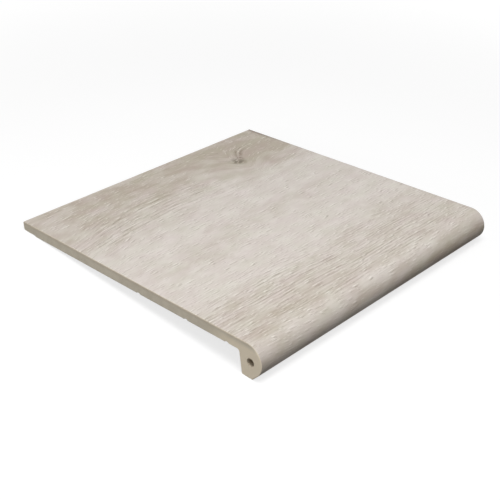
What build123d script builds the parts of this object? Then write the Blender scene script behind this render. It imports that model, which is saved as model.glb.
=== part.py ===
from build123d import *
import math
import os

# Stair tread tile: one piece of extruded, fired stoneware with a rounded nosing and a lip that hangs over the riser.
# X runs along the nosing, the way the clay was extruded; -Y is the front, +Y the back, +Z up.
# The origin is at the middle of the tile's box, at the level of the lip's underside. Millimetres throughout.

# Overall sizes
tread_width = 330.0
tread_depth = 338.0
tread_height = 35.0
slab_thickness = 11.2

# Nosing and lip
nosing_radius = 16.8
undercut_slope = 45.0
lip_depth_at_slab = 26.2
lip_depth_at_bottom = 23.6
lip_root_radius = 2.5
lip_heel_radius = 2.0
drip_edge_radius = 1.0

# Core that the extruder leaves along the nosing, a little below the nosing's axis
core_diameter = 8.0
core_drop = 1.2

# Back edge: a rounded arris above, a shallow relief for the mortar below
back_arris_radius = 1.5
back_heel_radius = 2.5
back_relief_width = 20.0
back_relief_depth = 1.1
back_relief_radius = 1.5

# Grooves in the bedding side, each by its distance from the lip
groove_width = 5.0
groove_depth = 1.0
grooves_from_lip = (14.5, 65.5, 129.5)

# Rounding of the cut ends, along the walking face and the nosing
end_arris_radius = 0.8

# Places that follow from those sizes
front = -tread_depth / 2
back = tread_depth / 2
underside = tread_height - slab_thickness
nosing_axis = (front + nosing_radius, tread_height - nosing_radius)
lip_root = front + lip_depth_at_slab
lip_heel = front + lip_depth_at_bottom


def nosing_arc():
    """Round from the walking face, over the front, to the point where the undercut leaves it."""
    return CenterArc(nosing_axis, nosing_radius, 90, 180 - undercut_slope)


def drip_edge(undercut_start):
    """Point where the undercut, sloping down and back from the nosing, meets the lip's flat underside."""
    return (undercut_start.X + undercut_start.Y / math.tan(math.radians(undercut_slope)), 0)


def core_centre():
    """Middle of the lip's depth, a little below the nosing's axis."""
    height = nosing_axis[1] - core_drop
    lip_lean = (lip_depth_at_slab - lip_depth_at_bottom) * height / underside
    return (front + (lip_depth_at_bottom + lip_lean) / 2, height)


def outline():
    """Outside of the section, drawn with Y to the right and Z up."""
    nosing = nosing_arc()
    relief_top = underside + back_relief_depth
    corners = {
        drip_edge(nosing @ 1): drip_edge_radius,
        (lip_heel, 0): lip_heel_radius,
        (lip_root, underside): lip_root_radius,
        (back - back_relief_width, underside): back_relief_radius,
        (back - back_relief_width + back_relief_depth, relief_top): back_relief_radius,
        (back, relief_top): back_heel_radius,
        (back, tread_height): back_arris_radius,
    }
    FilletPolyline(nosing @ 1, *corners, nosing @ 0, radius=tuple(corners.values()))


def cut_core():
    """Round core along the nosing, which lets the thick lip dry and fire evenly."""
    with Locations(core_centre()):
        Circle(core_diameter / 2, mode=Mode.SUBTRACT)


def cut_grooves():
    """Shallow round-bottomed grooves along the bedding side, which key the tile to its mortar."""
    groove_radius = (groove_width**2 / 4 + groove_depth**2) / (2 * groove_depth)
    groove_centre = underside + groove_depth - groove_radius
    with Locations(*[(lip_root + distance, groove_centre) for distance in grooves_from_lip]):
        Circle(groove_radius, mode=Mode.SUBTRACT)


with BuildPart() as tile:
    with BuildSketch(Plane.YZ):
        with BuildLine():
            outline()
        make_face()
        cut_core()
        cut_grooves()
    extrude(amount=tread_width / 2, both=True)
    end_edges = tile.faces().filter_by(Axis.X).edges()
    walking_face_ends = end_edges.group_by(Axis.Z)[-1]
    fillet(walking_face_ends, end_arris_radius)

os.makedirs("parts", exist_ok=True)
export_step(tile.part, "parts/stair_tread_tile.step")
print("stair_tread_tile", round(tile.part.volume), "mm3", tile.part.bounding_box())
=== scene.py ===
# %% [markdown]
# A stair tread tile is one piece of fired stoneware: a flat slab with a round nosing along its front edge
# and a lip that hangs down over the riser. The top and the nosing carry a satin glaze printed like limed
# oak, and the cut ends, the back and the underside show the bare beige body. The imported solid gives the
# place and the overall size. This script draws the same section again with a mesh fine enough to hold the
# grain's relief, gives it its two finishes, and sets it in a plain studio.

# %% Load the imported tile
import math

import bmesh
import bpy
import numpy as np
from mathutils import Color, Matrix, Vector


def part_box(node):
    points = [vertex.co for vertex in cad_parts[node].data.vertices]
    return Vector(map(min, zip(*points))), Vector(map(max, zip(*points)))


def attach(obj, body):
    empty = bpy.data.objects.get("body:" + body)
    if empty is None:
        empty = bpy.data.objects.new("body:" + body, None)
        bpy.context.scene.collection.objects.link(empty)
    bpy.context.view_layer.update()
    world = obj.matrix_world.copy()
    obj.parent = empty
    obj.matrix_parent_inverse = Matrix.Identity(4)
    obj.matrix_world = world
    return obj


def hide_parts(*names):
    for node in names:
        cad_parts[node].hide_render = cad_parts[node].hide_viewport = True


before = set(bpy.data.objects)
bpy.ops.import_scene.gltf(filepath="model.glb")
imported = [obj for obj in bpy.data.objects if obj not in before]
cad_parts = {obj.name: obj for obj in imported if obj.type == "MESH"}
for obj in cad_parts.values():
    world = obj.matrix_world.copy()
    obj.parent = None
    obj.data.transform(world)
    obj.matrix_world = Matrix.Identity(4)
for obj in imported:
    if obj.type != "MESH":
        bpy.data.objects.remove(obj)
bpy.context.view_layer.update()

tile_low, tile_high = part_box("stair_tread_tile")
print("packed tile, metres:", [round(side, 4) for side in tile_high - tile_low])

# %% [markdown]
# The section is worked out from a few sizes of the real tile. X runs along the nosing, -Y is the front
# and Z is up, with the lip's underside at zero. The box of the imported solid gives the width, depth and
# height, so only the sizes inside that box are written here.

# %% Sizes of the section
mm = 0.001
half_width = tile_high.x
back = tile_high.y
front = -tile_high.y
top = tile_high.z
slab_thickness = 11.2 * mm
nosing_radius = 16.8 * mm
undercut_slope = math.radians(45)
lip_depth_at_slab = 26.2 * mm
lip_depth_at_bottom = 23.6 * mm
back_relief_width = 20.0 * mm
back_relief_depth = 1.1 * mm
end_arris = 0.8 * mm

underside = top - slab_thickness
nosing_y = front + nosing_radius
nosing_z = top - nosing_radius
nosing_turn = math.pi - undercut_slope
lip_root = front + lip_depth_at_slab
lip_heel = front + lip_depth_at_bottom
flat_length = back - nosing_y
nosing_length = nosing_radius * nosing_turn
print("walking face", round(flat_length, 4), "then", round(nosing_length, 4), "round the nosing")

# %% [markdown]
# The outline is drawn like a pen line: a straight run pulls one vertex out of the last, and a round
# swings the vertex about an axis with spin. The bedding side has three shallow grooves that key the tile
# to its mortar. Drawn this way, each round and each groove is a true arc.

# %% Pen strokes
groove_width = 5.0 * mm
groove_depth = 1.0 * mm
groove_radius = (groove_width**2 / 4 + groove_depth**2) / (2 * groove_depth)
groove_steps = 8


def draw_line(mesh, pen, y, z):
    """Pulls a straight edge from the pen's vertex to a new one."""
    made = bmesh.ops.extrude_vert_indiv(mesh, verts=[pen])["verts"][0]
    made.co = Vector((pen.co.x, y, z))
    return made


def draw_arc(mesh, pen, y, z, angle, steps):
    """Swings the pen's vertex about an axis along X and leaves an arc behind it."""
    made = bmesh.ops.spin(
        mesh, geom=[pen], cent=(pen.co.x, y, z), axis=(1, 0, 0), angle=angle, steps=steps,
        use_duplicate=False
    )
    return [part for part in made["geom_last"] if isinstance(part, bmesh.types.BMVert)][0]


def draw_groove(mesh, pen, middle):
    """Runs along the bedding side to a groove and over its round bottom."""
    pen = draw_line(mesh, pen, middle - groove_width / 2, underside)
    turn = -2 * math.asin(groove_width / 2 / groove_radius)
    return draw_arc(mesh, pen, middle, underside + groove_depth - groove_radius, turn, groove_steps)


print("a groove's round has a radius of", round(groove_radius, 5))

# %% [markdown]
# The pen starts at the back edge, runs over the walking face and round the nosing, down the straight
# undercut to the drip edge, along the lip, and back over the bedding side. Corners are noted on the way,
# each with the radius that it gets later. The nosing is drawn in steps of half a millimetre, to hold the
# grain's relief.

# %% Draw the outline
row_height = 0.5 * mm
grooves_from_lip = [14.5 * mm, 65.5 * mm, 129.5 * mm]
drip_edge_radius = 1.0 * mm
lip_heel_radius = 2.0 * mm
lip_root_radius = 2.5 * mm
back_relief_radius = 1.5 * mm
back_heel_radius = 2.5 * mm
back_arris_radius = 1.5 * mm
relief_top = underside + back_relief_depth
relief_start = back - back_relief_width

tile_mesh = bmesh.new()
corners = []
start = tile_mesh.verts.new((-half_width + end_arris, back, top))
pen = draw_line(tile_mesh, start, nosing_y, top)
pen = draw_arc(tile_mesh, pen, nosing_y, nosing_z, nosing_turn, round(nosing_length / row_height))
drip_y = pen.co.y + pen.co.z / math.tan(undercut_slope)
pen = draw_line(tile_mesh, pen, drip_y, 0)
corners.append((pen, drip_edge_radius))
pen = draw_line(tile_mesh, pen, lip_heel, 0)
corners.append((pen, lip_heel_radius))
pen = draw_line(tile_mesh, pen, lip_root, underside)
corners.append((pen, lip_root_radius))
for distance in grooves_from_lip:
    pen = draw_groove(tile_mesh, pen, lip_root + distance)
pen = draw_line(tile_mesh, pen, relief_start, underside)
corners.append((pen, back_relief_radius))
pen = draw_line(tile_mesh, pen, relief_start + back_relief_depth, relief_top)
corners.append((pen, back_relief_radius))
pen = draw_line(tile_mesh, pen, back, relief_top)
corners.append((pen, back_heel_radius))
corners.append((start, back_arris_radius))
tile_mesh.edges.new((pen, start))
outline = bmesh.ops.contextual_create(tile_mesh, geom=tile_mesh.edges[:])["faces"][0]
print("outline of", len(outline.verts), "points, drip edge at y", round(drip_y, 4))

# %% [markdown]
# A fired edge is never sharp. Each corner of the outline is rounded by a vertex bevel, which is given the
# length to cut back along the edges: the radius times the tangent of half the turn.

# %% Round the corners of the outline
corner_steps = 6
round_profile = 0.5

for corner, radius in corners:
    before, after = [edge.other_vert(corner).co - corner.co for edge in corner.link_edges]
    turn = math.pi - before.angle(after)
    bmesh.ops.bevel(
        tile_mesh, geom=[corner], offset=radius * math.tan(turn / 2), offset_type="OFFSET",
        segments=corner_steps, profile=round_profile, affect="VERTICES", material=-1, clamp_overlap=False
    )
bmesh.ops.delete(tile_mesh, geom=tile_mesh.faces[:], context="FACES_ONLY")
print("rounded outline of", len(tile_mesh.verts), "points")

# %% [markdown]
# The grain's relief is finer than the section needs, so the walking face and the undercut are divided
# into rows of half a millimetre. Then the outline is pulled along X, as the clay is pushed through its
# die, and divided into columns. Grain runs along X, so the columns can be several times longer than the
# rows are high.

# %% Divide the face and pull the section along the nosing
column_length = 3.3 * mm
swept_width = 2 * (half_width - end_arris)


def longest(edges):
    """The longest of some edges."""
    return max(edges, key=lambda edge: edge.calc_length())


on_top = [edge for edge in tile_mesh.edges if min(vert.co.z for vert in edge.verts) > top - mm]
before_drip = [edge for edge in tile_mesh.edges if max(vert.co.y for vert in edge.verts) < drip_y]
for long_edge in (longest(on_top), longest(before_drip)):
    rows = round(long_edge.calc_length() / row_height)
    bmesh.ops.subdivide_edges(tile_mesh, edges=[long_edge], cuts=rows - 1)
first_rim = tile_mesh.edges[:]
pulled = bmesh.ops.extrude_edge_only(tile_mesh, edges=first_rim)["geom"]
last_verts = [part for part in pulled if isinstance(part, bmesh.types.BMVert)]
last_rim = [part for part in pulled if isinstance(part, bmesh.types.BMEdge)]
bmesh.ops.translate(tile_mesh, verts=last_verts, vec=(swept_width, 0, 0))
rims = set(first_rim) | set(last_rim)
lengthwise = [edge for edge in tile_mesh.edges if edge not in rims]
bmesh.ops.subdivide_edges(tile_mesh, edges=lengthwise, cuts=round(swept_width / column_length) - 1)
print("swept faces:", len(tile_mesh.faces))

# %% [markdown]
# The ends were cut from the column of clay with a wire and rubbed, so their edges are slightly round.
# Each end is closed with one face, and a few insets that also move outwards turn its rim into a quarter
# round.

# %% Round the cut ends
arris_steps = 4


def close_end(rim):
    """Caps an end and rounds its edge. Returns the flat face that is left."""
    cap = bmesh.ops.contextual_create(tile_mesh, geom=rim)["faces"][0]
    cap.normal_update()
    if cap.normal.x * cap.calc_center_median().x < 0:
        cap.normal_flip()
    for step in range(arris_steps):
        angle = math.pi / 2 * step / arris_steps
        next_angle = math.pi / 2 * (step + 1) / arris_steps
        inwards = end_arris * (math.cos(angle) - math.cos(next_angle))
        outwards = end_arris * (math.sin(next_angle) - math.sin(angle))
        bmesh.ops.inset_region(
            tile_mesh, faces=[cap], thickness=inwards, depth=outwards,
            use_even_offset=True, use_boundary=True
        )
    return cap


caps = [close_end(first_rim), close_end(last_rim)]
print("end faces at x", [round(cap.calc_center_median().x, 4) for cap in caps])

# %% [markdown]
# The extruder leaves a round core along the nosing, so that the thick lip dries and fires evenly. Two
# circles bridged by a wall make it, and each end face is filled again between its outline and the circle.

# %% Open the core
core_radius = 4.0 * mm
core_drop = 1.2 * mm
core_sides = 40
core_z = nosing_z - core_drop
core_lean = (lip_depth_at_slab - lip_depth_at_bottom) * core_z / underside
core_y = front + (lip_depth_at_bottom + core_lean) / 2
core_turn = Matrix.Rotation(math.pi / 2, 4, "Y")

core_rims = []
for side in (-half_width, half_width):
    rim_place = Matrix.Translation((side, core_y, core_z)) @ core_turn
    circle = bmesh.ops.create_circle(
        tile_mesh, cap_ends=False, segments=core_sides, radius=core_radius, matrix=rim_place
    )
    core_rims.append(list({edge for vert in circle["verts"] for edge in vert.link_edges}))
bmesh.ops.bridge_loops(tile_mesh, edges=core_rims[0] + core_rims[1])
for cap, core_rim in zip(caps, core_rims):
    cap_rim = cap.edges[:]
    bmesh.ops.delete(tile_mesh, geom=[cap], context="FACES_ONLY")
    bmesh.ops.triangle_fill(tile_mesh, use_beauty=True, edges=cap_rim + core_rim)
    for edge in cap_rim + core_rim:
        edge.smooth = False
print("closed:", all(len(edge.link_faces) == 2 for edge in tile_mesh.edges), len(tile_mesh.faces), "faces")

# %% [markdown]
# Blender shades neighbouring faces as one soft surface when they are marked smooth. That is right for the
# nosing and the rounds, but an edge that turns by more than thirty degrees is meant to be seen and stays
# sharp.

# %% Shade the rounds smoothly
sharp_angle = math.radians(30)

bmesh.ops.recalc_face_normals(tile_mesh, faces=tile_mesh.faces[:])
for face in tile_mesh.faces:
    face.smooth = True
for edge in tile_mesh.edges:
    if len(edge.link_faces) == 2 and edge.calc_face_angle() > sharp_angle:
        edge.smooth = False
print("sharp edges:", sum(not edge.smooth for edge in tile_mesh.edges))

# %% [markdown]
# The print and its relief follow the surface from the back edge over the nosing, so every point gets its
# place on the skin: how far along X it lies, and how far from the back edge, measured along the skin in
# millimetres. Points of the glazed skin also get the direction out of it, because the relief moves them
# along that. The outermost strip stays flat, so that the edges keep their line. Both are stored as
# attributes, which modifiers and materials can read.

# %% Measure the skin
glaze_end = math.radians(124)
skin_depth = 1.0 * mm
flat_strip_at_ends = 1.1 * end_arris
flat_strip_at_back = 2.0 * mm


def measure_skin(points):
    """Length along the skin from the back edge, tilt from level, and whether a point is in the glaze."""
    y, z = points[:, 1] - nosing_y, points[:, 2] - nosing_z
    tilt = np.where(y < 0, np.arctan2(-y, z), 0.0)
    length = flat_length - np.maximum(y, 0) + nosing_radius * tilt
    reach = np.where(y < 0, np.hypot(y, z), z)
    return length, tilt, (np.abs(reach - nosing_radius) < skin_depth) & (tilt < glaze_end)


def read_vectors(items, name):
    """One row of three numbers for each vertex or face of a mesh."""
    values = np.empty(len(items) * 3)
    items.foreach_get(name, values)
    return values.reshape(-1, 3)


def store_vectors(mesh, name, rows):
    """Keeps one vector a vertex as a named attribute."""
    mesh.attributes.new(name, "FLOAT_VECTOR", "POINT").data.foreach_set("vector", np.ravel(rows))


skin = bpy.data.meshes.new("tread_tile")
tile_mesh.to_mesh(skin)
tile_mesh.free()
points = read_vectors(skin.vertices, "co")
length, tilt, glazed = measure_skin(points)
store_vectors(skin, "skin_place", np.column_stack([points[:, 0], length, np.zeros(len(points))]) / mm)
inside_ends = np.abs(points[:, 0]) < half_width - flat_strip_at_ends
in_field = glazed & inside_ends & (points[:, 1] < back - flat_strip_at_back)
outwards = np.column_stack([np.zeros(len(points)), -np.sin(tilt), np.cos(tilt)])
store_vectors(skin, "outwards", outwards * in_field[:, None])
print("points in the glazed skin:", int(glazed.sum()), "of", len(points))

# %% [markdown]
# The mesh becomes an object in the scene. It moves with the tile's one body and is shown in place of the
# imported solid, which stays as it is.

# %% Put the tile in the scene
tile = bpy.data.objects.new("tread_tile", skin)
bpy.context.scene.collection.objects.link(tile)
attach(tile, "root")
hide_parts("stair_tread_tile")
print("in the scene:", tile.name, "with", len(skin.polygons), "faces")

# %% [markdown]
# Geometry nodes and shader nodes share their arithmetic and their noise, so one function can draw the
# grain in both: as relief on the mesh and as colour in the glaze. These helpers add one node each and
# return its output.

# %% Nodes for arithmetic
def wire(tree, socket, source):
    """Feeds a socket from a node's output, or sets it to a plain number, vector or colour."""
    if isinstance(source, bpy.types.NodeSocket):
        tree.links.new(source, socket)
    else:
        socket.default_value = source


def add_step(tree, kind, operation, sources):
    """One node of a kind that has several operations, with its inputs fed in order."""
    step = tree.nodes.new(kind)
    step.operation = operation
    for socket, source in zip(step.inputs, sources):
        wire(tree, socket, source)
    return step


def calc(tree, operation, *sources):
    """One step of arithmetic on numbers."""
    return add_step(tree, "ShaderNodeMath", operation, sources).outputs[0]


def calc_vector(tree, operation, *sources):
    """One step of arithmetic on vectors."""
    step = add_step(tree, "ShaderNodeVectorMath", operation, sources)
    return step.outputs["Value" if operation == "LENGTH" else "Vector"]


def scaled(tree, vector, factor):
    """A vector made longer or shorter by a number."""
    result = calc_vector(tree, "SCALE", vector)
    wire(tree, result.node.inputs["Scale"], factor)
    return result


def split(tree, vector):
    """The numbers of a vector, as outputs called X, Y and Z."""
    step = tree.nodes.new("ShaderNodeSeparateXYZ")
    wire(tree, step.inputs[0], vector)
    return step.outputs


print("ready:", [helper.__name__ for helper in (wire, add_step, calc, calc_vector, scaled, split)])

# %% [markdown]
# Most of the print is made of three things: noise drawn out along the grain, soft ovals where the tone or
# the density changes, and ramps that turn either of them into an amount. Sums and products put them
# together.

# %% Nodes for noise, ovals and ramps
def ramp(tree, value, low, high, low_result=0.0, high_result=1.0):
    """Goes smoothly from one result at low to the other at high."""
    step = tree.nodes.new("ShaderNodeMapRange")
    step.interpolation_type = "SMOOTHSTEP"
    for socket, source in zip(step.inputs, (value, low, high, low_result, high_result)):
        wire(tree, socket, source)
    return step.outputs["Result"]


def streaks(tree, place, along, across, detail, seed):
    """Noise about 0.5, drawn out along the grain. A streak is so many millimetres along and across."""
    stretched = calc_vector(tree, "MULTIPLY_ADD", place, (1 / along, 1 / across, 0), (seed, seed, 0))
    noise = tree.nodes.new("ShaderNodeTexNoise")
    noise.noise_dimensions = "2D"
    wire(tree, noise.inputs["Vector"], stretched)
    wire(tree, noise.inputs["Scale"], 1.0)
    wire(tree, noise.inputs["Detail"], detail)
    return noise.outputs[0]


def patch(tree, place, middle, reach):
    """A soft oval on the face: 1 at its middle, 0 from its reach along and across the grain outwards."""
    apart = calc_vector(tree, "SUBTRACT", place, (*middle, 0))
    share = calc_vector(tree, "MULTIPLY", apart, (1 / reach[0], 1 / reach[1], 0))
    return ramp(tree, calc_vector(tree, "LENGTH", share), 1.0, 0.0)


def patches(tree, place, table):
    """The ovals of a table, each with its weight."""
    return [(patch(tree, place, middle, reach), weight) for middle, reach, weight in table]


def total(tree, parts):
    """Sum of several outputs, each with its weight."""
    result = 0.0
    for part, weight in parts:
        result = calc(tree, "MULTIPLY_ADD", part, weight, result)
    return result


def product(tree, first, *factors):
    """Outputs and numbers multiplied together."""
    result = first
    for factor in factors:
        result = calc(tree, "MULTIPLY", result, factor)
    return result


print("ready:", [helper.__name__ for helper in (ramp, streaks, patch, patches, total, product)])

# %% [markdown]
# Wood grain is straight only from afar. Its lines wander slowly, they arch down towards the left end at
# the back, and they swerve forwards around a knot. Bending the place first and drawing straight streaks
# on the bent place gives all three. Places are in millimetres: along X, and from the back edge.

# %% Bend the grain
slow_wander = 12.0
quick_wander = 0.8
wander_middle = 6.75
arch_start = -50.0
arch_length = 110.0
arch_drop = 18.0
arch_middle = (-140.0, 85.0)
arch_reach = (260.0, 130.0)
knot_place = (87.0, 60.0)
knot_swerve = 36.0
knot_width = 17.0
knot_reach = (75.0, 60.0)
knot_bluntness = 0.25


def swerve(tree, place):
    """How far the lines are drawn forwards, from 0 to 1: most at the knot and less to both sides."""
    apart = calc_vector(tree, "SUBTRACT", place, (*knot_place, 0))
    sideways = calc_vector(tree, "MULTIPLY_ADD", apart, (1 / knot_width, 0, 0), (0, knot_bluntness, 0))
    fall = calc(tree, "EXPONENT", product(tree, calc_vector(tree, "LENGTH", sideways), -1.0))
    return product(tree, fall, patch(tree, place, knot_place, knot_reach))


def arch(tree, place):
    """How far the lines droop towards the left end, as the square of the way past the arch's crown."""
    along = split(tree, place)["X"]
    past = calc(tree, "MULTIPLY_ADD", along, -1 / arch_length, arch_start / arch_length)
    droop = calc(tree, "POWER", calc(tree, "MAXIMUM", past, 0.0), 2.0)
    return product(tree, droop, patch(tree, place, arch_middle, arch_reach))


def bend(tree, place):
    """Place on the skin, shifted across the grain by its wander, the arch and the swerve at the knot."""
    shift = total(tree, [
        (streaks(tree, place, along=170.0, across=55.0, detail=1.0, seed=3.7), slow_wander),
        (streaks(tree, place, along=40.0, across=16.0, detail=1.0, seed=8.1), quick_wander),
        (arch(tree, place), -arch_drop),
        (swerve(tree, place), -knot_swerve),
    ])
    step = tree.nodes.new("ShaderNodeCombineXYZ")
    wire(tree, step.inputs["Y"], calc(tree, "SUBTRACT", shift, wander_middle))
    return calc_vector(tree, "ADD", place, step.outputs[0])


print("lines swerve", knot_swerve, "mm at the knot and droop up to", arch_drop, "mm at the left")

# %% [markdown]
# The grain is dense at the back left and along the front, faint between, and calm around the knot. Within
# a dense stretch it comes in blocks, less so at the front, and it fades on the nosing.

# %% Density of the grain
faint_grain = 0.22
block_edges = (0.40, 0.58)
least_at_back = 0.35
least_at_front = 0.60
most = 1.10
front_edges = (190.0, 250.0)
nosing_edges = (316.0, 334.0)
nosing_share = 0.45
dense_grain = [
    ((-80.0, 78.0), (125.0, 42.0), 1.1),
    ((-80.0, 290.0), (230.0, 62.0), 0.74),
    ((80.0, 297.0), (125.0, 48.0), 0.74),
    ((60.0, 40.0), (110.0, 55.0), -0.16),
]


def density(tree, bent):
    """How strongly the grain shows: about 1 in blocks of the dense stretches and a fifth elsewhere."""
    from_back = split(tree, bent)["Y"]
    least = ramp(tree, from_back, *front_edges, least_at_back, least_at_front)
    noise = streaks(tree, bent, along=45.0, across=13.0, detail=2.0, seed=5.3)
    blocks = ramp(tree, noise, *block_edges, least, most)
    on_nosing = ramp(tree, from_back, *nosing_edges, 1.0, nosing_share)
    stretches = total(tree, patches(tree, bent, dense_grain))
    return product(tree, calc(tree, "ADD", stretches, faint_grain), blocks, on_nosing)


print("dense stretches:", sum(weight > 0 for middle, reach, weight in dense_grain))

# %% [markdown]
# Oak's pores crowd in rows, where one year's wood meets the next, with paler wood between the rows. A
# sawtooth across the grain gives the rows, closer together from the middle of the face forwards, and
# noise along them breaks each row into dashes, which are longer at the front.

# %% Rows of pores
wide_spacing = 5.4
close_spacing = 3.5
close_from = 150.0
row_wander = 0.7
dark_row_edges = (0.22, 0.04)
pale_row_edges = (0.24, 0.42)
back_dash_length = 20.0
front_dash_length = 46.0
dash_edges = (0.42, 0.53)


def dashes(tree, bent, from_back):
    """Where a row shows, from 0 to 1: short dashes at the back that turn into long ones at the front."""
    short = streaks(tree, bent, along=back_dash_length, across=2.4, detail=1.0, seed=6.4)
    long = streaks(tree, bent, along=front_dash_length, across=1.9, detail=1.0, seed=15.2)
    at_front = ramp(tree, from_back, *front_edges)
    noise = calc(tree, "MULTIPLY_ADD", calc(tree, "SUBTRACT", long, short), at_front, short)
    return ramp(tree, noise, *dash_edges)


def pore_rows(tree, bent):
    """The dark rows and the pale wood between them, each from 0 to 1."""
    from_back = split(tree, bent)["Y"]
    closer = calc(tree, "MAXIMUM", calc(tree, "SUBTRACT", from_back, close_from), 0.0)
    row = total(tree, [
        (from_back, 1 / wide_spacing),
        (closer, 1 / close_spacing - 1 / wide_spacing),
        (streaks(tree, bent, along=120.0, across=11.0, detail=2.0, seed=1.9), row_wander),
    ])
    beside = calc(tree, "PINGPONG", row, 0.5)
    showing = dashes(tree, bent, from_back)
    dark = product(tree, ramp(tree, beside, *dark_row_edges), showing)
    pale = product(tree, ramp(tree, beside, *pale_row_edges), showing)
    return dark, pale


print("rows", wide_spacing, "mm apart at the back and", close_spacing, "mm at the front")

# %% [markdown]
# The dark lines of the print are also pressed into the clay, at most about two tenths of a millimetre
# deep. A geometry-node modifier sinks each point of the skin by the darkness of its line, and the result
# then becomes the tile's mesh, so that the relief is real geometry.

# %% Press the relief
relief_depth = 0.14 * mm
relief = bpy.data.node_groups.new("grain_relief", "GeometryNodeTree")
relief.is_modifier = True
for side in ("INPUT", "OUTPUT"):
    relief.interface.new_socket("Geometry", in_out=side, socket_type="NodeSocketGeometry")


def read_attribute(tree, name):
    """A vector attribute, inside geometry nodes."""
    step = tree.nodes.new("GeometryNodeInputNamedAttribute")
    step.data_type = "FLOAT_VECTOR"
    step.inputs["Name"].default_value = name
    return step.outputs["Attribute"]


bent = bend(relief, read_attribute(relief, "skin_place"))
dark, pale = pore_rows(relief, bent)
depth = product(relief, dark, density(relief, bent), -relief_depth)
move = relief.nodes.new("GeometryNodeSetPosition")
wire(relief, move.inputs["Geometry"], relief.nodes.new("NodeGroupInput").outputs[0])
wire(relief, move.inputs["Offset"], scaled(relief, read_attribute(relief, "outwards"), depth))
wire(relief, relief.nodes.new("NodeGroupOutput").inputs[0], move.outputs[0])

tile.modifiers.new("relief", "NODES").node_group = relief
scene_now = bpy.context.evaluated_depsgraph_get()
pressed = bpy.data.meshes.new_from_object(
    tile.evaluated_get(scene_now), preserve_all_data_layers=True, depsgraph=scene_now
)
tile.modifiers.clear()
tile.data = pressed
bpy.data.meshes.remove(skin)
moved = np.linalg.norm(read_vectors(pressed.vertices, "co") - points, axis=1)
deepest = moved.max() / mm
average = moved[in_field].mean() / mm
print("relief up to", round(deepest, 3), "mm deep, on average", round(average, 3))

# %% [markdown]
# The glaze is a satin print of limed oak. Its colour is built up as a printer lays it, one film over the
# other: the ground, the lines, the flecks and the knot. Each film is a tint, which mixes one more colour
# in by an amount. The material reads each point's place on the skin, so the print runs over the nosing
# without a seam.

# %% Start the glaze
def srgb(red, green, blue):
    """A colour read off a screen, from 0 to 255, as the linear colour that a shader takes."""
    return (*Color((red / 255, green / 255, blue / 255)).from_srgb_to_scene_linear(), 1.0)


def tint(tree, colour, other, amount):
    """Goes from one colour to the other by an amount from 0 to 1."""
    step = tree.nodes.new("ShaderNodeMix")
    step.data_type = "RGBA"
    factor, first, second = [socket for socket in step.inputs if socket.enabled]
    wire(tree, factor, amount)
    wire(tree, first, colour)
    wire(tree, second, other)
    return next(socket for socket in step.outputs if socket.enabled)


def new_material(name):
    """An empty material and its shader node."""
    material = bpy.data.materials.new(name)
    material.use_nodes = True
    return material, material.node_tree, material.node_tree.nodes["Principled BSDF"]


glaze, tree, shader = new_material("oak_print_glaze")
reader = tree.nodes.new("ShaderNodeAttribute")
reader.attribute_name = "skin_place"
place = reader.outputs["Vector"]
bent = bend(tree, place)
from_back = split(tree, place)["Y"]
print("material:", glaze.name)

# %% [markdown]
# The ground goes from a pale limed tone in the middle to a browner one at the back and along the front.
# The limit between them drifts, and broad ovals make single places browner or paler, as one board differs
# from place to place. Two ovals are painted light instead: a painted sheen along the nosing's shoulder and
# painted shade on the lower nosing at the right. The sum is the amount of brown.

# %% Tone of the ground
tone_drift = 50.0
tone_and_painted_light_patches = [
    ((128.0, 52.0), (85.0, 58.0), 0.58),
    ((40.0, 10.0), (170.0, 60.0), 0.12),
    ((40.0, 76.0), (90.0, 36.0), 0.16),
    ((-115.0, 100.0), (110.0, 38.0), 0.22),
    ((-150.0, 22.0), (80.0, 34.0), -0.22),
    ((-140.0, 300.0), (110.0, 60.0), 0.18),
    ((10.0, 170.0), (190.0, 30.0), 0.22),
    ((0.0, 0.0), (500.0, 20.0), -0.16),
    # Painted sheen: a paler band along the nosing's shoulder, where the glaze catches the light.
    ((0.0, 330.0), (600.0, 11.0), -0.30),
    # Painted shade: browner on the lower nosing at the right, where it turns down away from the light.
    ((130.0, 352.0), (150.0, 24.0), 0.40),
    ((-95.0, 190.0), (90.0, 30.0), 0.24),
    ((-80.0, 304.0), (120.0, 17.0), 0.22),
    ((125.0, 98.0), (70.0, 26.0), 0.20),
]

drift = streaks(tree, place, along=120.0, across=40.0, detail=2.0, seed=2.2)
drifted = calc(tree, "MULTIPLY_ADD", drift, tone_drift, calc(tree, "SUBTRACT", from_back, tone_drift / 2))
brown_bands = [
    (ramp(tree, drifted, 138.0, 15.0), 0.80),
    (ramp(tree, drifted, 240.0, 275.0), 0.34),
    (ramp(tree, from_back, 312.0, 326.0), 0.16),
]
brown = total(tree, brown_bands + patches(tree, place, tone_and_painted_light_patches))
print("tone made of", len(brown_bands), "bands and", len(tone_and_painted_light_patches), "patches")

# %% [markdown]
# Soft clouds along the grain and rounder blotches at the back break the tone up. Lime, rubbed into the
# wood as a white paste, lies on top in pale smears, most where the wood is pale.

# %% Colour of the ground
pale_wood = srgb(214, 206, 198)
brown_wood = srgb(180, 168, 152)
lime_white = srgb(229, 223, 216)
cloud_edges = (0.3, 0.7)
clouds_on_pale = 0.14
clouds_on_brown = 0.26
blotch_edges = (170.0, 50.0)
blotches_at_back = 0.10
smear_edges = (0.46, 0.72)
lime_on_pale = 0.40
lime_on_brown = 0.08

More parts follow.
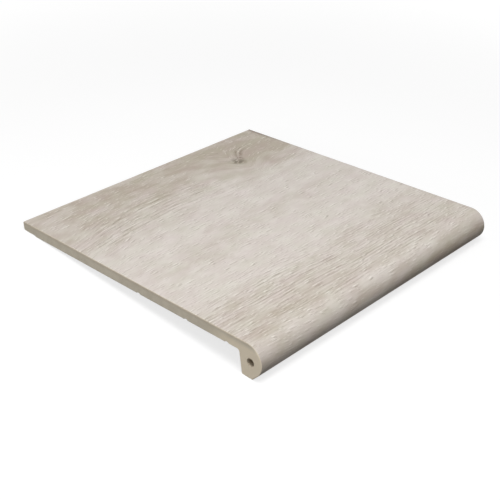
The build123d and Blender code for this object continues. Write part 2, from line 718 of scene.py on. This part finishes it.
clouds = streaks(tree, bent, along=36.0, across=13.0, detail=4.0, seed=4.6)
cloudiness = ramp(tree, brown, 0.1, 0.8, clouds_on_pale, clouds_on_brown)
ground = calc(tree, "MULTIPLY_ADD", ramp(tree, clouds, *cloud_edges, 1.0, -1.0), cloudiness, brown)
blots = streaks(tree, place, along=26.0, across=22.0, detail=3.0, seed=17.3)
blotchiness = ramp(tree, from_back, *blotch_edges, 0.0, blotches_at_back)
ground = calc(tree, "MULTIPLY_ADD", ramp(tree, blots, *cloud_edges, -1.0, 1.0), blotchiness, ground)
smears = streaks(tree, place, along=24.0, across=13.0, detail=4.0, seed=9.2)
limed = ramp(tree, brown, 0.0, 0.8, lime_on_pale, lime_on_brown)
lime = product(tree, ramp(tree, smears, *smear_edges), limed)
colour = tint(tree, pale_wood, brown_wood, ground)
colour = tint(tree, colour, lime_white, lime)
print("ground made of", len(tree.nodes), "nodes")

# %% [markdown]
# The lines are the same rows that were pressed into the clay, so colour and relief agree: pale wood, dark
# rows, and fine pores that crowd inside the dark rows.

# %% Lines of the print
line_pale = srgb(231, 225, 217)
line_dark = srgb(146, 132, 117)
pore_dark = srgb(136, 121, 105)
pale_amount = 0.40
dark_amount = 0.30
pore_amount = 0.42
pore_crowding = 0.22
pore_edges = (0.69, 0.74)
pores_in_faint_grain = 0.35

strength = density(tree, bent)
dark, pale = [product(tree, part, strength) for part in pore_rows(tree, bent)]
fine = streaks(tree, bent, along=18.0, across=0.7, detail=1.0, seed=7.5)
crowded = calc(tree, "MULTIPLY_ADD", dark, pore_crowding, fine)
pores_showing = ramp(tree, strength, 0.05, 0.5, pores_in_faint_grain, 1.0)
pores = product(tree, ramp(tree, crowded, *pore_edges), pores_showing)
colour = tint(tree, colour, line_pale, product(tree, pale, pale_amount))
colour = tint(tree, colour, line_dark, product(tree, dark, dark_amount))
colour = tint(tree, colour, pore_dark, product(tree, pores, pore_amount))
print("lines added,", len(tree.nodes), "nodes so far")

# %% [markdown]
# Small dark flecks of the print come in pairs with a pale one just in front of each. The pale one is a
# painted highlight, which makes the pair look like an embossed dent in the light. The same noise, read a
# little further on, gives the pale one. They show in groups, where the grain is denser, and on their own
# at the back.

# %% Flecks of the print, with painted highlights
# The pale fleck colour is a painted highlight.
painted_fleck_highlight = srgb(243, 239, 232)
fleck_step = (1.0, 1.6, 0.0)
fleck_edges = (0.67, 0.72)
fleck_gain = 4.2
fleck_limit = 0.6
dark_fleck_amount = 0.85
fleck_highlight_amount = 0.95
back_edges = (65.0, 30.0)
held_back = -0.14


def flecks(tree, place):
    """Short thin flecks along the grain, each from 0 to 1."""
    noise = streaks(tree, place, along=12.0, across=1.1, detail=1.0, seed=11.3)
    return ramp(tree, noise, *fleck_edges)


at_back = ramp(tree, from_back, *back_edges, held_back, 0.0)
showing = calc(tree, "MINIMUM", calc(tree, "MULTIPLY_ADD", strength, fleck_gain, at_back), fleck_limit)
next_to = calc_vector(tree, "ADD", bent, fleck_step)
colour = tint(tree, colour, line_dark, product(tree, flecks(tree, bent), showing, dark_fleck_amount))
# The pale fleck is a painted highlight on the lit side of each dent.
colour = tint(tree, colour, painted_fleck_highlight, product(tree, flecks(tree, next_to), showing, fleck_highlight_amount))
print("flecks added,", len(tree.nodes), "nodes so far")

# %% [markdown]
# The knot is a dark heart with a dark arm that runs along the swerving lines, split by a pale crack.
# Noise breaks all three up. The glaze is also darker along the far end, near the back corner.

# %% Knot of the print
heart_dark = srgb(108, 94, 79)
arm_dark = srgb(128, 113, 96)
crack_pale = srgb(218, 209, 196)
edge_dark = srgb(118, 102, 90)
heart_reach = (14.0, 13.0)
arm_reach = (34.0, 8.0)
crack_reach = (28.0, 2.4)
edge_reach = (6.0, 70.0)
shard_edges = (0.39, 0.57)
least_shard = 0.2
knot_amount = 0.95
swerve_back = 28.0

# On the bent place, the lines that pass the knot lie further back than the knot itself.
knot_x, knot_s = knot_place
knot_line = knot_s - swerve_back
heart = patch(tree, place, (knot_x + 1.0, knot_s - 1.0), heart_reach)
arm = patch(tree, bent, (knot_x + 14.0, knot_line), arm_reach)
crack = patch(tree, bent, (knot_x + 24.0, knot_line - 0.5), crack_reach)
noise = streaks(tree, place, along=6.0, across=3.2, detail=2.0, seed=16.1)
shards = ramp(tree, noise, *shard_edges, least_shard, 1.0)
far_edge = patch(tree, place, (half_width / mm, 10.0), edge_reach)
colour = tint(tree, colour, arm_dark, product(tree, arm, shards, knot_amount))
colour = tint(tree, colour, heart_dark, product(tree, heart, shards))
colour = tint(tree, colour, crack_pale, product(tree, crack, shards, knot_amount))
colour = tint(tree, colour, edge_dark, product(tree, far_edge, knot_amount))
print("knot", knot_s, "mm from the back edge,", len(tree.nodes), "nodes so far")

# %% [markdown]
# Last, the hue drifts a little between rosy and greenish, as fired colours do. The glaze is satin, not
# glossy: its roughness varies with the clouds, and the pores are duller and, by a fine bump, a little
# deeper.

# %% Surface of the glaze
middle_hue = 0.5
hue_range = 0.08
least_hue = middle_hue - hue_range / 2
glaze_shine = 0.3
glaze_roughness = 0.38
cloud_roughness = 0.12
pore_roughness = 0.15
pore_depth = 0.05 * mm

hue_drift = streaks(tree, place, along=30.0, across=18.0, detail=3.0, seed=12.7)
turned = tree.nodes.new("ShaderNodeHueSaturation")
wire(tree, turned.inputs["Hue"], calc(tree, "MULTIPLY_ADD", hue_drift, hue_range, least_hue))
wire(tree, turned.inputs["Color"], colour)
wire(tree, shader.inputs["Base Color"], turned.outputs["Color"])
wire(tree, shader.inputs["Specular IOR Level"], glaze_shine)
satin = calc(tree, "MULTIPLY_ADD", clouds, cloud_roughness, glaze_roughness)
wire(tree, shader.inputs["Roughness"], calc(tree, "MULTIPLY_ADD", pores, pore_roughness, satin))
bump = tree.nodes.new("ShaderNodeBump")
wire(tree, bump.inputs["Distance"], pore_depth)
wire(tree, bump.inputs["Height"], product(tree, pores, -1.0))
wire(tree, shader.inputs["Normal"], bump.outputs["Normal"])
print("glaze made of", len(tree.nodes), "nodes")

# %% [markdown]
# The bare body shows on the cut ends, the back and the underside: fine beige stoneware with a sandy grit,
# a few iron specks, and faint drag lines along the way it was extruded. It is patterned in space, in
# millimetres, so the grit looks cut through on an end face.

# %% Body
body, tree, shader = new_material("bare_stoneware")
place = scaled(tree, tree.nodes.new("ShaderNodeTexCoord").outputs["Object"], 1 / mm)
beige = srgb(193, 184, 167)
pale_beige = srgb(203, 194, 177)
sand_brown = srgb(168, 155, 134)
drag_brown = srgb(182, 171, 152)
iron_brown = srgb(112, 92, 72)
drawn_out = (0.012, 1.0, 1.0)
speck_spacing = 5.0


def grit(tree, place, size, detail):
    """Even noise about 0.5, with grains of a size in millimetres."""
    noise = tree.nodes.new("ShaderNodeTexNoise")
    wire(tree, noise.inputs["Vector"], place)
    wire(tree, noise.inputs["Scale"], 1 / size)
    wire(tree, noise.inputs["Detail"], detail)
    return noise.outputs[0]


cloudy = grit(tree, place, size=9.0, detail=3.0)
sandy = grit(tree, place, size=0.6, detail=3.0)
drag = grit(tree, calc_vector(tree, "MULTIPLY", place, drawn_out), size=0.9, detail=2.0)
specks = tree.nodes.new("ShaderNodeTexVoronoi")
wire(tree, specks.inputs["Vector"], place)
wire(tree, specks.inputs["Scale"], 1 / speck_spacing)
colour = tint(tree, beige, pale_beige, ramp(tree, cloudy, 0.3, 0.7))
colour = tint(tree, colour, sand_brown, ramp(tree, sandy, 0.45, 0.75, 0.0, 0.4))
colour = tint(tree, colour, drag_brown, ramp(tree, drag, 0.5, 0.75, 0.0, 0.25))
colour = tint(tree, colour, iron_brown, ramp(tree, specks.outputs["Distance"], 0.10, 0.05, 0.0, 0.6))
print("material:", body.name, "with", len(tree.nodes), "nodes so far")

# %% [markdown]
# The body isn't one tone all over. Just under the glaze it is darker, and towards the lip it is paler,
# the more so lower down. The wall of the core is darkened with painted shade for the hole's shadow.

# %% Tones of the body
dark_under_glaze = srgb(172, 158, 138)
lip_pale = srgb(231, 217, 193)
# Painted shade: this colour darkens the wall of the core in place of the hole's shadow.
core_painted_shade = srgb(116, 103, 86)
core_shade_amount = 0.35
top_mm = top / mm
root_mm = lip_root / mm
core_mm = core_radius / mm

axes = split(tree, place)
under_glaze = ramp(tree, axes["Z"], top_mm - 4.0, top_mm - 1.2, 0.0, 0.35)
near_lip = ramp(tree, axes["Y"], root_mm + 48.0, root_mm + 4.0)
low_down = ramp(tree, axes["Z"], top_mm - 1.5, top_mm - 7.0, 0.1, 0.7)
from_axis = calc_vector(tree, "SUBTRACT", place, (0, core_y / mm, core_z / mm))
around_axis = calc_vector(tree, "MULTIPLY", from_axis, (0, 1, 1))
in_core = ramp(tree, calc_vector(tree, "LENGTH", around_axis), core_mm + 0.4, core_mm + 0.1)
colour = tint(tree, colour, dark_under_glaze, under_glaze)
colour = tint(tree, colour, lip_pale, product(tree, near_lip, low_down))
# Painted shade on the wall of the core.
colour = tint(tree, colour, core_painted_shade, product(tree, in_core, core_shade_amount))
print("tones added,", len(tree.nodes), "nodes so far")

# %% [markdown]
# Unglazed stoneware is matt. The sand makes its roughness vary, and sand and drag lines together give a
# fine bump.

# %% Surface of the body
grit_depth = 0.08 * mm

wire(tree, shader.inputs["Base Color"], colour)
wire(tree, shader.inputs["Roughness"], ramp(tree, sandy, 0.3, 0.7, 0.78, 0.92))
bump = tree.nodes.new("ShaderNodeBump")
wire(tree, bump.inputs["Distance"], grit_depth)
wire(tree, bump.inputs["Height"], calc(tree, "ADD", sandy, drag))
wire(tree, shader.inputs["Normal"], bump.outputs["Normal"])
print("body made of", len(tree.nodes), "nodes")

# %% [markdown]
# The glaze covers the walking face and the nosing and runs a little way into the rounding of the ends.
# There it stops, because the end faces were cut bare. Each face takes the finish of the place where its
# middle lies.

# %% Glazed and bare faces
glazed_turn = 0.4

face_normals = read_vectors(pressed.polygons, "normal")
in_skin = measure_skin(read_vectors(pressed.polygons, "center"))[2]
takes_glaze = in_skin & (np.abs(face_normals[:, 0]) < glazed_turn)
pressed.materials.append(glaze)
pressed.materials.append(body)
pressed.polygons.foreach_set("material_index", np.where(takes_glaze, 0, 1))
print("glazed faces:", int(takes_glaze.sum()), "bare faces:", int((~takes_glaze).sum()))

# %% [markdown]
# Set down on a floor, the tile touches it with the heel of its lip and with its back edge. The frame
# keeps the walking face level, as it is laid, so the floor leans instead. From each point of the lip, the
# lowest line to a point of the back passes under the whole back. The steepest of those lines also passes
# under the whole lip, and that one is the floor.

# %% Floor
floor_gap = 0.02 * mm
floor_half_size = 4.0

section = points[np.isclose(points[:, 0], points[0, 0])]
lip_points = section[section[:, 1] < lip_root]
back_points = section[section[:, 1] > relief_start]
rise = np.subtract.outer(back_points[:, 2], lip_points[:, 2])
run = np.subtract.outer(back_points[:, 1], lip_points[:, 1])
slopes = (rise / run).min(axis=0)
touching = lip_points[slopes.argmax()]
floor_lean = math.atan(slopes.max())
floor_turn = Matrix.Rotation(floor_lean, 4, "X")
floor_place = Matrix.Translation((0, touching[1], touching[2] - floor_gap)) @ floor_turn
floor_mesh = bmesh.new()
bmesh.ops.create_grid(floor_mesh, x_segments=1, y_segments=1, size=floor_half_size, matrix=floor_place)
floor_skin = bpy.data.meshes.new("floor")
floor_mesh.to_mesh(floor_skin)
floor_mesh.free()
floor = bpy.data.objects.new("floor", floor_skin)
bpy.context.scene.collection.objects.link(floor)
print("floor leans", round(math.degrees(floor_lean), 2), "degrees")

# %% [markdown]
# The floor looks white to the camera, by a glow that only camera rays see, and still takes the tile's
# soft shadow. To the light it is a darker grey, so that it doesn't throw too much light under the nosing.
# The glow is a little weaker near the tile, which leaves room for the shadow.

# %% Floor finish
grey_to_camera = (0.30, 0.30, 0.30, 1.0)
grey_to_light = (0.14, 0.14, 0.14, 1.0)
glow_near = 0.74
glow_far = 0.99
glow_edges = (0.4, 1.4)
floor_roughness = 0.9

floor_finish, tree, shader = new_material("pale_floor")
wire(tree, shader.inputs["Roughness"], floor_roughness)
wire(tree, shader.inputs["Specular IOR Level"], 0.0)
seen = tree.nodes.new("ShaderNodeLightPath").outputs["Is Camera Ray"]
wire(tree, shader.inputs["Base Color"], tint(tree, grey_to_light, grey_to_camera, seen))
wire(tree, shader.inputs["Emission Color"], srgb(255, 255, 255))
apart = calc_vector(tree, "LENGTH", tree.nodes.new("ShaderNodeTexCoord").outputs["Object"])
glow = ramp(tree, apart, *glow_edges, glow_near, glow_far)
wire(tree, shader.inputs["Emission Strength"], product(tree, seen, glow))
floor_skin.materials.append(floor_finish)
print("floor finish:", floor_finish.name)

# %% [markdown]
# Three soft square lamps light the tile: the main one overhead and a little in front, one from the left
# for the cut end, and a weak one at the front left for the nosing.

# %% Lamps
def soft_lamp(name, place, aim, size, power):
    """A square lamp that faces a point."""
    light = bpy.data.lights.new(name, "AREA")
    light.size = size
    light.energy = power
    lamp = bpy.data.objects.new(name, light)
    facing = (Vector(aim) - Vector(place)).to_track_quat("-Z", "Y").to_matrix().to_4x4()
    lamp.matrix_world = Matrix.Translation(place) @ facing
    bpy.context.scene.collection.objects.link(lamp)
    print("lamp", name, "of", power, "watts")


soft_lamp("overhead", place=(-0.35, -0.55, 1.5), aim=(0, 0, 0), size=0.7, power=18.8)
soft_lamp("left", place=(-1.2, 0.25, 0.3), aim=(-0.165, -0.1, 0.02), size=0.5, power=4.5)
soft_lamp("front_left", place=(-0.55, -1.1, 0.5), aim=(-0.1, -0.17, 0.02), size=0.4, power=1.2)

# %% [markdown]
# The world around is white where the camera or a reflection sees it, and much weaker as a light, so that
# it softens the shadows without washing them out.

# %% Surround
strength_as_light = 0.22

bpy.context.scene.view_settings.view_transform = "Standard"
world = bpy.data.worlds.new("studio")
bpy.context.scene.world = world
world.use_nodes = True
tree = world.node_tree
rays = tree.nodes.new("ShaderNodeLightPath").outputs
seen = calc(tree, "MAXIMUM", rays["Is Camera Ray"], rays["Is Glossy Ray"])
seen = calc(tree, "MAXIMUM", seen, rays["Is Transmission Ray"])
background = tree.nodes["Background"]
wire(tree, background.inputs["Color"], (1, 1, 1, 1))
wire(tree, background.inputs["Strength"], ramp(tree, seen, 0.0, 1.0, strength_as_light, 1.0))
print("surround:", world.name)

# %% [markdown]
# The camera stands at the front left, about a metre away and some thirty degrees up, with the slight roll
# of a product shot. Its place is written as a direction and a distance from the point that it looks at.

# %% Camera
aim = Vector((-9.73, -3.02, 1.40)) * mm
azimuth = math.radians(-44.836)
elevation = math.radians(29.228)
roll = math.radians(-1.496)
camera_distance = 997.42 * mm
sensor_width = 36.0
focal_length = 69.83

towards_camera = Vector((
    math.sin(azimuth) * math.cos(elevation), -math.cos(azimuth) * math.cos(elevation), math.sin(elevation)
))
lens = bpy.data.cameras.new("camera")
lens.sensor_width = sensor_width
lens.lens = focal_length
camera = bpy.data.objects.new("camera", lens)
turn = (-towards_camera).to_track_quat("-Z", "Y").to_matrix().to_4x4() @ Matrix.Rotation(roll, 4, "Z")
camera.matrix_world = Matrix.Translation(aim + towards_camera * camera_distance) @ turn
bpy.context.scene.collection.objects.link(camera)
bpy.context.scene.camera = camera
print("camera at", [round(part, 3) for part in camera.matrix_world.translation])
